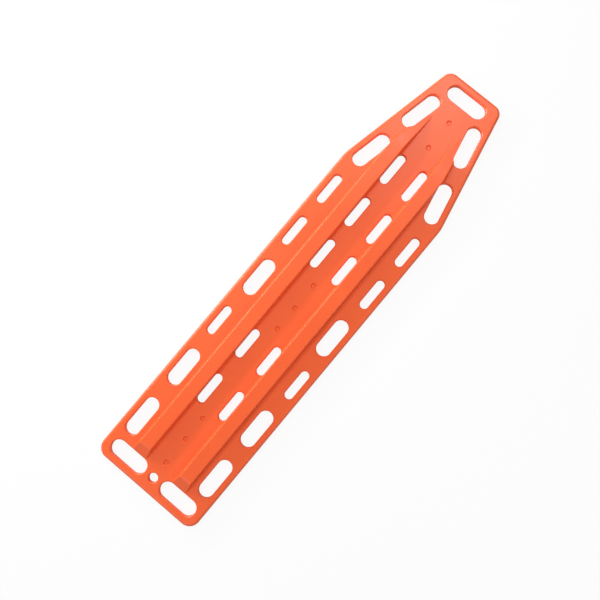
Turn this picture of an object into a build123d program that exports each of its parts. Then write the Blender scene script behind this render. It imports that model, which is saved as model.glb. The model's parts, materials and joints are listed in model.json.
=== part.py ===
"""Spine board: a foam-filled, twin-skin moulded board with two runners and 29 slots.

Millimetres. X runs across the board, +Y towards the head and +Z up, with the runners on top.
The origin is on the resting face, under the middle of the board.
"""

import os
from math import atan, cos, degrees, radians, tan

from build123d import *

# Board. Places and lengths along it are parts of board_length, counted from its middle
board_length = 1840.0
board_width = 440.0
head_width = 236.0
shoulder_y = 0.2445 * board_length
plate_thickness = 24.0
edge_radius = 10.0
foot_corner_radius = 42.0
shoulder_radius = 130.0
head_corner_radius = 36.0

# Skins: two moulded halves that meet on a flat parting plane
wall = 4.0
parting_height = 12.0
fit_gap = 0.3

# Hand slots along the rim, and strap slots beside and between the runners.
# Each pair is a slot's place and its length, both as parts of board_length
hand_slot_width = 54.5
hand_slot_inset = 51.0
hand_slots = [(-0.395, 0.084), (-0.273, 0.0815), (-0.0485, 0.081)]
taper_slots = [(0.2805, 0.0856), (0.401, 0.088)]
strap_slot_width = 32.0
strap_slot_inset = 41.0
rim_strap_slots = [(-0.161, 0.0643), (0.0645, 0.066), (0.17, 0.0665)]
centre_strap_x = 0.1125 * board_width
centre_strap_slots = [(-0.272, 0.0665), (-0.1605, 0.0646), (0.065, 0.0662), (0.17, 0.0684),
                      (0.2775, 0.0695)]
slot_lip = 3.0

# End slots and the hanging hole
end_slot_width = 60.0
end_slot_inset = 56.0
head_slot_web = 38.5
foot_slot_web = 30.5
hanging_hole_diameter = 34.0
hanging_hole_web = 20.0

# Runners: flat-topped beams with drafted walls, a long nose ramp and a bevelled tail
runner_height = 21.0
runner_draft = 19.0
runner_gap = 0.307 * board_width
runner_top_width = 0.109 * board_width
runner_bend_y = 0.318 * board_length
runner_bend_radius = 60.0
runner_edge_radius = 4.0
runner_sink = 12.0
nose_ramp_start = 0.327 * board_length
nose_ramp_end = 0.406 * board_length
nose_run_out = 25.0
tail_bevel_length = 40.0
tail_blend_radius = 15.0
ramp_blend_radius = 300.0

# Recesses: shallow round dishes in the runner skin, on the centreline
dish_rows = [-0.432, -0.3745, -0.3245, -0.102, -0.0505, 0.0055, 0.353, 0.416]
dish_diameter = 20.0
dish_depth = 6.0
dish_draft = 25.0
dish_lip = 1.0

# Stiffener tubes and their caps
tube_diameter = 20.0
tube_wall = 2.5
tube_foot_y = -0.41 * board_length
tube_head_y = 0.337 * board_length
cap_flange = 3.0
cap_spigot_length = 15.0
cap_spigot_wall = 2.0
cap_lead_in = 1.0

# Places that follow from the sizes above
total_height = plate_thickness + runner_height
foam_inset = wall + fit_gap
foam_split_height = plate_thickness - foam_inset
taper_angle = degrees(atan((board_width - head_width) / 2 / (board_length / 2 - shoulder_y)))
runner_inner_x = runner_gap / 2
runner_outer_x = runner_inner_x + runner_top_width
tube_x = runner_inner_x + runner_top_width / 2
end_slot_y = board_length / 2 - end_slot_inset
head_slot_length = head_width - 2 * head_slot_web
foot_slot_inner_x = hanging_hole_diameter / 2 + hanging_hole_web
foot_slot_length = board_width / 2 - foot_slot_web - foot_slot_inner_x
tail_end_y = -end_slot_y + end_slot_width / 2 + slot_lip
tail_top_y = tail_end_y + tail_bevel_length


def both_sides(part):
    """The part and its mirror image on the other side of the board."""
    return part + mirror(part, about=Plane.YZ)


def board_outline():
    """Plan of the board: straight sides, a taper from the shoulders and rounded corners."""
    foot, head = -board_length / 2, board_length / 2
    half, half_head = board_width / 2, head_width / 2
    corners = [(half, foot), (half, shoulder_y), (half_head, head)]
    corners += [(-x, y) for x, y in reversed(corners)]
    plan = make_face(Polyline(*corners, close=True))
    plan = fillet(plan.vertices().group_by(Axis.Y)[0], foot_corner_radius)
    plan = fillet(plan.vertices().group_by(Axis.Y)[-1], head_corner_radius)
    shoulders = plan.vertices().filter_by(lambda v: abs(v.Y - shoulder_y) < 1e-6)
    return fillet(shoulders, shoulder_radius)


def slot_places():
    """Each slot on the +X side or on the centreline, as its place, length and width."""
    half = board_width / 2
    slant = radians(taper_angle)
    places = []
    for row, length in hand_slots:
        place = Location((half - hand_slot_inset, row * board_length, 0), (0, 0, 90))
        places.append((place, length * board_length, hand_slot_width))
    for row, length in taper_slots:
        y = row * board_length
        x = half - (y - shoulder_y) * tan(slant) - hand_slot_inset / cos(slant)
        place = Location((x, y, 0), (0, 0, 90 + taper_angle))
        places.append((place, length * board_length, hand_slot_width))
    rim_x = half - strap_slot_inset
    for x, slots in ((rim_x, rim_strap_slots), (centre_strap_x, centre_strap_slots)):
        for row, length in slots:
            place = Location((x, row * board_length, 0), (0, 0, 90))
            places.append((place, length * board_length, strap_slot_width))
    foot_slot = Location((foot_slot_inner_x + foot_slot_length / 2, -end_slot_y, 0))
    places.append((foot_slot, foot_slot_length, end_slot_width))
    places.append((Location((0, end_slot_y, 0)), head_slot_length, end_slot_width))
    return places


def slot_prisms(grow):
    """All slots and the hanging hole as upright prisms, wider by grow all round."""
    sketch = Sketch()
    for place, length, width in slot_places():
        sketch += place * SlotOverall(length + 2 * grow, width + 2 * grow)
    sketch = both_sides(sketch)
    sketch += Pos(0, -end_slot_y) * Circle(hanging_hole_diameter / 2 + grow)
    return extrude(Pos(0, 0, -1) * sketch, total_height + 2)


def dishes(inset):
    """The recesses as cones that rise just over the plate, bigger by inset all round."""
    draft = radians(dish_draft)
    floor = plate_thickness - dish_depth - inset
    rise = plate_thickness + 1 - floor
    mouth = dish_diameter / 2 + inset / cos(draft) + tan(draft)
    cone = Cone(mouth - rise * tan(draft), mouth, rise,
                align=(Align.CENTER, Align.CENTER, Align.MIN))
    return Part() + [Pos(0, row * board_length, floor) * cone for row in dish_rows]


def plate(inset):
    """The plate without its runners and slots, smaller by inset all round."""
    plan = board_outline()
    if inset:
        plan = offset(plan, -inset)
    slab = extrude(Pos(0, 0, inset) * plan, plate_thickness - 2 * inset)
    return fillet(slab.faces().filter_by(Axis.Z).edges(), edge_radius - inset)


def runner_side(inset):
    """Side view of a runner: the tail bevel, the flat top and the nose ramp."""
    sink = plate_thickness - runner_sink
    tail = tail_end_y - (tail_top_y - tail_end_y) / runner_height * runner_sink
    nose = nose_ramp_end + (nose_ramp_end - nose_ramp_start) / runner_height * runner_sink
    side = make_face(Polyline((tail, sink), (tail_top_y, total_height),
                              (nose_ramp_start, total_height), (nose, sink), close=True))
    crests = side.vertices().group_by(Axis.Y)[-1].sort_by(Axis.X)
    side = fillet(crests[0], tail_blend_radius)
    ramp_crest = side.vertices().filter_by(lambda v: abs(v.X - nose_ramp_start) < 1e-6)
    side = fillet(ramp_crest, ramp_blend_radius)
    return offset(side, -inset) if inset else side


def runner_beam(inset):
    """The +X runner with sharp edges, smaller by inset all round, sunk into the plate."""
    draft = radians(runner_draft)
    sink, top = plate_thickness - runner_sink, total_height - inset
    low = (total_height - sink) * tan(draft) - inset / cos(draft)
    high = inset * tan(draft) - inset / cos(draft)
    foot, crown = (runner_outer_x + low, sink), (runner_outer_x + high, top)
    section = Polyline((runner_inner_x - low, sink), foot, crown,
                       (runner_inner_x - high, top), close=True)
    beam = extrude(Plane.XZ * make_face(section), board_length)
    beam = Pos(0, nose_ramp_end + nose_run_out, 0) * beam
    to_bend = Pos(runner_outer_x, runner_bend_y, 0)
    taper_side = Polyline((-board_width, sink), foot, crown, (-board_width, top), close=True)
    taper_side = Pos(-runner_outer_x, 0, 0) * extrude(Plane.XZ * make_face(taper_side),
                                                      board_length, both=True)
    beam = beam & (to_bend * Rot(0, 0, taper_angle) * taper_side)
    return beam & extrude(Plane.YZ * runner_side(inset), board_width / 2)


def runner():
    """The outer form of the +X runner above the plate, with its rounded edges."""
    beam = runner_beam(0)
    bend = beam.edges().filter_by(lambda e: abs(e.center().Y - runner_bend_y) < 1
                                  and abs(e.tangent_at(0.5).Z) > 0.5)
    beam = fillet(bend, runner_bend_radius)
    wall_edges = beam.faces().filter_by(lambda f: abs(f.normal_at().Z) < 0.6).edges()
    top_edges = beam.faces().filter_by(lambda f: f.normal_at().Z > 0.6).edges()
    crest = [e for e in top_edges if any(e.is_same(other) for other in wall_edges)]
    beam = fillet(crest, runner_edge_radius)
    return split(beam, bisect_by=Plane.XY.offset(plate_thickness), keep=Keep.TOP)


def outer_form():
    """The whole outer form: plate, runners, slots and recesses with bevelled lips."""
    slots = slot_prisms(0)
    slab = plate(0) - slots
    faces = slab.faces().filter_by(Axis.Z).sort_by(Axis.Z)
    rings = faces[0].inner_wires() + faces[-1].inner_wires()
    slab = chamfer(rings.edges(), slot_lip) - dishes(0)
    mouths = slab.edges().filter_by(GeomType.CIRCLE).filter_by(
        lambda e: abs(e.radius - dish_diameter / 2) < 1e-3)
    slab = chamfer(mouths, dish_lip)
    beam = runner()
    root = extrude(beam.faces().sort_by(Axis.Z)[0], slot_lip + 1)
    return slab + (both_sides(beam + root) - slots)


def inner_form(inset):
    """The space inside the outer form, smaller by inset all round."""
    return plate(inset) + both_sides(runner_beam(inset)) - slot_prisms(inset) - dishes(inset)


def skins():
    """The runner skin and the deck skin, which meet on the parting plane."""
    shell = outer_form() - inner_form(wall)
    parting = Plane.XY.offset(parting_height)
    upper = split(shell, bisect_by=parting, keep=Keep.TOP)
    return upper, split(shell, bisect_by=parting, keep=Keep.BOTTOM)


def along_tube(part):
    """The part moved from the origin to the middle of the +X tube's axis."""
    return Pos(tube_x, 0, foam_split_height) * part


def foam():
    """The foam sheet, and the +X runner's foam strip, with a groove for the tube in each."""
    core = inner_form(foam_inset)
    start = tube_foot_y - cap_flange - fit_gap
    end = tube_head_y + cap_flange + fit_gap
    groove = extrude(Plane.XZ * Circle(tube_diameter / 2 + fit_gap), start - end)
    core -= both_sides(along_tube(Pos(0, start, 0) * groove))
    bed = Plane.XY.offset(foam_split_height)
    sheet = split(core, bisect_by=bed, keep=Keep.BOTTOM)
    strips = split(core, bisect_by=bed, keep=Keep.TOP)
    return sheet, strips


def stiffener_tube():
    """The +X glass-fibre tube."""
    ring = Circle(tube_diameter / 2) - Circle(tube_diameter / 2 - tube_wall)
    tube = extrude(Plane.XZ * ring, tube_foot_y - tube_head_y)
    return along_tube(Pos(0, tube_foot_y, 0) * tube)


def tube_cap():
    """A tube's end cap along +Y: a flange on the tube's end and a hollow spigot inside it."""
    flange = tube_diameter / 2
    spigot = flange - tube_wall - fit_gap
    bore = spigot - cap_spigot_wall
    end = -cap_spigot_length
    profile = Polyline((0, 0), (0, cap_flange), (flange, cap_flange), (flange, 0), (spigot, 0),
                       (spigot, end + cap_lead_in), (spigot - cap_lead_in, end), (bore, end),
                       (bore, 0), close=True)
    return revolve(make_face(profile), Axis.Y)


os.makedirs("parts", exist_ok=True)
runner_skin, deck_skin = skins()
foam_sheet, foam_strips = foam()
head_cap = along_tube(Pos(0, tube_head_y, 0) * tube_cap())
foot_cap = along_tube(Pos(0, tube_foot_y, 0) * Rot(0, 0, 180) * tube_cap())
nodes = {"runner_skin": runner_skin, "deck_skin": deck_skin, "foam_sheet": foam_sheet}
for side, sign in (("right", 1), ("left", -1)):
    strip = foam_strips.solids().sort_by(Axis.X)[-1]
    mates = {"runner_foam_" + side: strip, "stiffener_tube_" + side: stiffener_tube(),
             "tube_cap_" + side + "_head": head_cap, "tube_cap_" + side + "_foot": foot_cap}
    for name, part in mates.items():
        nodes[name] = part if sign > 0 else mirror(part, about=Plane.YZ)
for name, part in nodes.items():
    export_step(part, "parts/" + name + ".step")
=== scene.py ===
import json
from math import cos, radians, sin

import bpy
from mathutils import Matrix, Vector

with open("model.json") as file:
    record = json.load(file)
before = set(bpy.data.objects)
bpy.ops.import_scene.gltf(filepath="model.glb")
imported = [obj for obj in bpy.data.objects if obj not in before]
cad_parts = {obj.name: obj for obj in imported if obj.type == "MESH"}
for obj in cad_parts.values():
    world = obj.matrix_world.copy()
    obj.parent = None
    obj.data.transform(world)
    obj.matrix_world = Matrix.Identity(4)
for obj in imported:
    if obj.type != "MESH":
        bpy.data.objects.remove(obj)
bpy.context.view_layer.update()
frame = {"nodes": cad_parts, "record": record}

# Studio, in metres: the camera looks down on the board from over its middle, a little to the
# right and towards the foot. The floor lies just under the board's resting face
CAMERA_PLACE = (0.1468, -0.1325, 2.4141)
CAMERA_AIM = (-0.0046, -0.0591, 0.024)
CAMERA_TURN = 39.87
CAMERA_LENS = 40.8
CAMERA_SENSOR = 36.0
FLOOR_SIZE = 30.0
FLOOR_DROP = 0.0005
FLOOR_COLOUR = (0.9, 0.9, 0.9)
FLOOR_GLOW = 0.9
AMBIENT = 0.24

# Soft lamps: place, aim, width and height in metres, power in watts
LAMPS = {
    "low left strip": ((-2.528, 0.0, 0.607), (0.0, 0.0, 0.0), 2.6, 0.15, 66.0),
    "left softbox": ((-2.411, 0.0, 0.974), (0.0, 0.0, 0.0), 2.4, 0.5, 11.0),
    "high left softbox": ((-1.491, 0.0, 2.13), (0.0, 0.0, 0.0), 1.6, 0.8, 22.0),
    "head left softbox": ((-1.86, 1.86, 0.958), (0.0, 0.0, 0.0), 1.2, 0.6, 6.0),
    "head softbox": ((-0.5, 1.9, 2.6), (0.0, 0.8, 0.0), 0.9, 0.9, 21.0),
    "right softbox": ((2.049, 0.0, 1.601), (0.0, 0.0, 0.0), 2.2, 0.9, 12.0),
    "foot softbox": ((0.0, -2.294, 1.606), (0.0, 0.0, 0.0), 1.2, 0.8, 10.0),
}

# Finishes: linear colours
ORANGE = (0.91, 0.117, 0.020)
ORANGE_DEEP = (0.87, 0.105, 0.016)
FOAM = (0.80, 0.70, 0.42)
FOAM_CELL = (0.62, 0.50, 0.26)
GLASS_RESIN = (0.52, 0.50, 0.30)
GLASS_STRAND = (0.66, 0.66, 0.50)
BLACK = (0.012, 0.012, 0.013)
BLACK_WORN = (0.035, 0.035, 0.036)

# Textures: noise scales per metre, and depths of the relief in metres
CLOUD_LOW, CLOUD_HIGH = 0.3, 0.7
HANDLING_SCALE = 17.0
STRAND_STRETCH = (420.0, 4.0, 420.0)
GRAIN_RELIEF = 0.0002
STRAND_RELIEF = 0.0001


def link(tree, a, out, b, socket):
    """Joins an output of one node to an input of another."""
    tree.links.new(a.outputs[out], b.inputs[socket])


def moulding_drift_group():
    """Slow colour drift and fine mould grain: a mask from 0 to 1 and a height."""
    group = bpy.data.node_groups.new("moulding drift", "ShaderNodeTree")
    sockets = group.interface
    for name, default in (("Cloud Size", 6.0), ("Grain Size", 900.0), ("Grain Depth", 0.5)):
        socket = sockets.new_socket(name=name, in_out="INPUT", socket_type="NodeSocketFloat")
        socket.default_value = default
    sockets.new_socket(name="Drift", in_out="OUTPUT", socket_type="NodeSocketFloat")
    sockets.new_socket(name="Roughness Drift", in_out="OUTPUT", socket_type="NodeSocketFloat")
    sockets.new_socket(name="Height", in_out="OUTPUT", socket_type="NodeSocketFloat")
    nodes = group.nodes
    start, end = nodes.new("NodeGroupInput"), nodes.new("NodeGroupOutput")
    place = nodes.new("ShaderNodeTexCoord")
    clouds = nodes.new("ShaderNodeTexNoise")
    clouds.inputs["Detail"].default_value = 3.0
    link(group, place, "Object", clouds, "Vector")
    link(group, start, "Cloud Size", clouds, "Scale")
    spread = nodes.new("ShaderNodeMapRange")
    spread.inputs["From Min"].default_value = CLOUD_LOW
    spread.inputs["From Max"].default_value = CLOUD_HIGH
    link(group, clouds, "Fac", spread, "Value")
    link(group, spread, "Result", end, "Drift")
    handling = nodes.new("ShaderNodeTexNoise")
    handling.inputs["Scale"].default_value = HANDLING_SCALE
    handling.inputs["Detail"].default_value = 5.0
    link(group, place, "Object", handling, "Vector")
    link(group, handling, "Fac", end, "Roughness Drift")
    grain = nodes.new("ShaderNodeTexNoise")
    grain.inputs["Detail"].default_value = 2.0
    link(group, place, "Object", grain, "Vector")
    link(group, start, "Grain Size", grain, "Scale")
    depth = nodes.new("ShaderNodeMath")
    depth.operation = "MULTIPLY"
    link(group, grain, "Fac", depth, 0)
    link(group, start, "Grain Depth", depth, 1)
    link(group, depth, "Value", end, "Height")
    return group


DRIFT = moulding_drift_group()


def finish_with_drift(name, pale, deep, rough_low, rough_high, drift, bump):
    """A material whose colour, roughness and grain come from the moulding drift group."""
    material = bpy.data.materials.new(name)
    material.use_nodes = True
    tree = material.node_tree
    shader = tree.nodes["Principled BSDF"]
    effect = tree.nodes.new("ShaderNodeGroup")
    effect.node_tree = DRIFT
    for socket, value in drift.items():
        effect.inputs[socket].default_value = value
    colour = tree.nodes.new("ShaderNodeMix")
    colour.data_type = "RGBA"
    colour.inputs["A"].default_value = (*pale, 1.0)
    colour.inputs["B"].default_value = (*deep, 1.0)
    link(tree, effect, "Drift", colour, "Factor")
    link(tree, colour, "Result", shader, "Base Color")
    roughness = tree.nodes.new("ShaderNodeMapRange")
    roughness.inputs["To Min"].default_value = rough_low
    roughness.inputs["To Max"].default_value = rough_high
    link(tree, effect, "Roughness Drift", roughness, "Value")
    link(tree, roughness, "Result", shader, "Roughness")
    relief = tree.nodes.new("ShaderNodeBump")
    relief.inputs["Strength"].default_value = bump
    relief.inputs["Distance"].default_value = GRAIN_RELIEF
    link(tree, effect, "Height", relief, "Height")
    link(tree, relief, "Normal", shader, "Normal")
    return material


def orange_moulding():
    """The skins: orange polyethylene with a satin sheen and a fine mould grain."""
    return finish_with_drift("orange moulding", ORANGE, ORANGE_DEEP, 0.34, 0.42,
                             {"Cloud Size": 5.0, "Grain Size": 1100.0, "Grain Depth": 0.4}, 0.12)


def rigid_foam():
    """The core: pale foam with open cells."""
    return finish_with_drift("rigid foam", FOAM, FOAM_CELL, 0.85, 0.95,
                             {"Cloud Size": 40.0, "Grain Size": 500.0, "Grain Depth": 1.0}, 0.6)


def black_cap():
    """The tube caps: black polyethylene, a little paler where it is handled."""
    return finish_with_drift("black cap", BLACK, BLACK_WORN, 0.42, 0.55,
                             {"Cloud Size": 60.0, "Grain Size": 1400.0, "Grain Depth": 0.5}, 0.2)


def glass_fibre():
    """The stiffener tubes: resin with glass strands that run along the tube."""
    material = bpy.data.materials.new("glass fibre")
    material.use_nodes = True
    tree = material.node_tree
    shader = tree.nodes["Principled BSDF"]
    shader.inputs["Coat Weight"].default_value = 0.3
    place = tree.nodes.new("ShaderNodeTexCoord")
    along = tree.nodes.new("ShaderNodeMapping")
    along.inputs["Scale"].default_value = STRAND_STRETCH
    link(tree, place, "Object", along, "Vector")
    strands = tree.nodes.new("ShaderNodeTexNoise")
    strands.inputs["Scale"].default_value = 1.0
    strands.inputs["Detail"].default_value = 4.0
    link(tree, along, "Vector", strands, "Vector")
    colour = tree.nodes.new("ShaderNodeMix")
    colour.data_type = "RGBA"
    colour.inputs["A"].default_value = (*GLASS_RESIN, 1.0)
    colour.inputs["B"].default_value = (*GLASS_STRAND, 1.0)
    link(tree, strands, "Fac", colour, "Factor")
    link(tree, colour, "Result", shader, "Base Color")
    roughness = tree.nodes.new("ShaderNodeMapRange")
    roughness.inputs["To Min"].default_value = 0.28
    roughness.inputs["To Max"].default_value = 0.42
    link(tree, strands, "Fac", roughness, "Value")
    link(tree, roughness, "Result", shader, "Roughness")
    relief = tree.nodes.new("ShaderNodeBump")
    relief.inputs["Strength"].default_value = 0.25
    relief.inputs["Distance"].default_value = STRAND_RELIEF
    link(tree, strands, "Fac", relief, "Height")
    link(tree, relief, "Normal", shader, "Normal")
    return material


def dress(finishes):
    """Gives each CAD node the finish of its material slot."""
    for part in frame["record"]["subparts"]:
        piece = frame["nodes"][part["node"]]
        piece.data.materials.clear()
        piece.data.materials.append(finishes[part["material_slot"]])


def pale_floor():
    """A pale floor that looks white to the camera and keeps a part of the board's shadow."""
    bpy.ops.object.select_all(action="DESELECT")
    bpy.ops.mesh.primitive_plane_add(size=FLOOR_SIZE, location=(0, 0, -FLOOR_DROP))
    floor = bpy.context.object
    floor.name = "pale floor"
    material = bpy.data.materials.new("pale floor")
    material.use_nodes = True
    tree = material.node_tree
    tree.nodes.clear()
    out = tree.nodes.new("ShaderNodeOutputMaterial")
    matt = tree.nodes.new("ShaderNodeBsdfDiffuse")
    matt.inputs["Color"].default_value = (*FLOOR_COLOUR, 1.0)
    glow = tree.nodes.new("ShaderNodeEmission")
    glow.inputs["Color"].default_value = (1.0, 1.0, 1.0, 1.0)
    glow.inputs["Strength"].default_value = 1.0
    ray = tree.nodes.new("ShaderNodeLightPath")
    seen = tree.nodes.new("ShaderNodeMath")
    seen.operation = "MAXIMUM"
    link(tree, ray, "Is Camera Ray", seen, 0)
    link(tree, ray, "Is Transmission Ray", seen, 1)
    share = tree.nodes.new("ShaderNodeMath")
    share.operation = "MULTIPLY"
    share.inputs[1].default_value = FLOOR_GLOW
    link(tree, seen, "Value", share, 0)
    blend = tree.nodes.new("ShaderNodeMixShader")
    link(tree, share, "Value", blend, "Fac")
    link(tree, matt, "BSDF", blend, 1)
    link(tree, glow, "Emission", blend, 2)
    link(tree, blend, "Shader", out, "Surface")
    floor.data.materials.append(material)


def white_surround():
    """Soft light from all round, which the camera and reflections see as plain white."""
    world = bpy.data.worlds.new("white surround")
    bpy.context.scene.world = world
    world.use_nodes = True
    tree = world.node_tree
    surround = tree.nodes["Background"]
    surround.inputs["Color"].default_value = (1.0, 1.0, 1.0, 1.0)
    ray = tree.nodes.new("ShaderNodeLightPath")
    mirrored = tree.nodes.new("ShaderNodeMath")
    mirrored.operation = "MAXIMUM"
    link(tree, ray, "Is Glossy Ray", mirrored, 0)
    link(tree, ray, "Is Transmission Ray", mirrored, 1)
    seen = tree.nodes.new("ShaderNodeMath")
    seen.operation = "MAXIMUM"
    link(tree, ray, "Is Camera Ray", seen, 0)
    link(tree, mirrored, "Value", seen, 1)
    level = tree.nodes.new("ShaderNodeMapRange")
    level.inputs["To Min"].default_value = AMBIENT
    level.inputs["To Max"].default_value = 1.0
    link(tree, seen, "Value", level, "Value")
    link(tree, level, "Result", surround, "Strength")


def softbox(name, place, aim, width, height, power):
    """A rectangular lamp at a place, turned towards its aim."""
    lamp = bpy.data.lights.new(name, "AREA")
    lamp.shape = "RECTANGLE"
    lamp.size, lamp.size_y = width, height
    lamp.energy = power
    box = bpy.data.objects.new(name, lamp)
    bpy.context.collection.objects.link(box)
    box.location = place
    box.rotation_euler = (Vector(aim) - Vector(place)).to_track_quat("-Z", "Y").to_euler()


def overhead_camera():
    """The photograph's camera, turned so that the board's head end points to the upper right."""
    lens = bpy.data.cameras.new("overhead camera")
    lens.lens = CAMERA_LENS
    lens.sensor_width = CAMERA_SENSOR
    camera = bpy.data.objects.new("overhead camera", lens)
    bpy.context.collection.objects.link(camera)
    forward = (Vector(CAMERA_AIM) - Vector(CAMERA_PLACE)).normalized()
    turn = radians(CAMERA_TURN)
    right = forward.cross(Vector((-sin(turn), cos(turn), 0.0))).normalized()
    up = right.cross(forward)
    axes = Matrix((right, up, -forward)).transposed()
    camera.matrix_world = Matrix.Translation(CAMERA_PLACE) @ axes.to_4x4()
    bpy.context.scene.camera = camera


bpy.ops.object.select_all(action="DESELECT")
bpy.context.scene.view_settings.view_transform = "Standard"
dress({"shell": orange_moulding(), "foam": rigid_foam(), "glass_fibre": glass_fibre(),
       "cap": black_cap()})
pale_floor()
white_surround()
for name, settings in LAMPS.items():
    softbox(name, *settings)
overhead_camera()
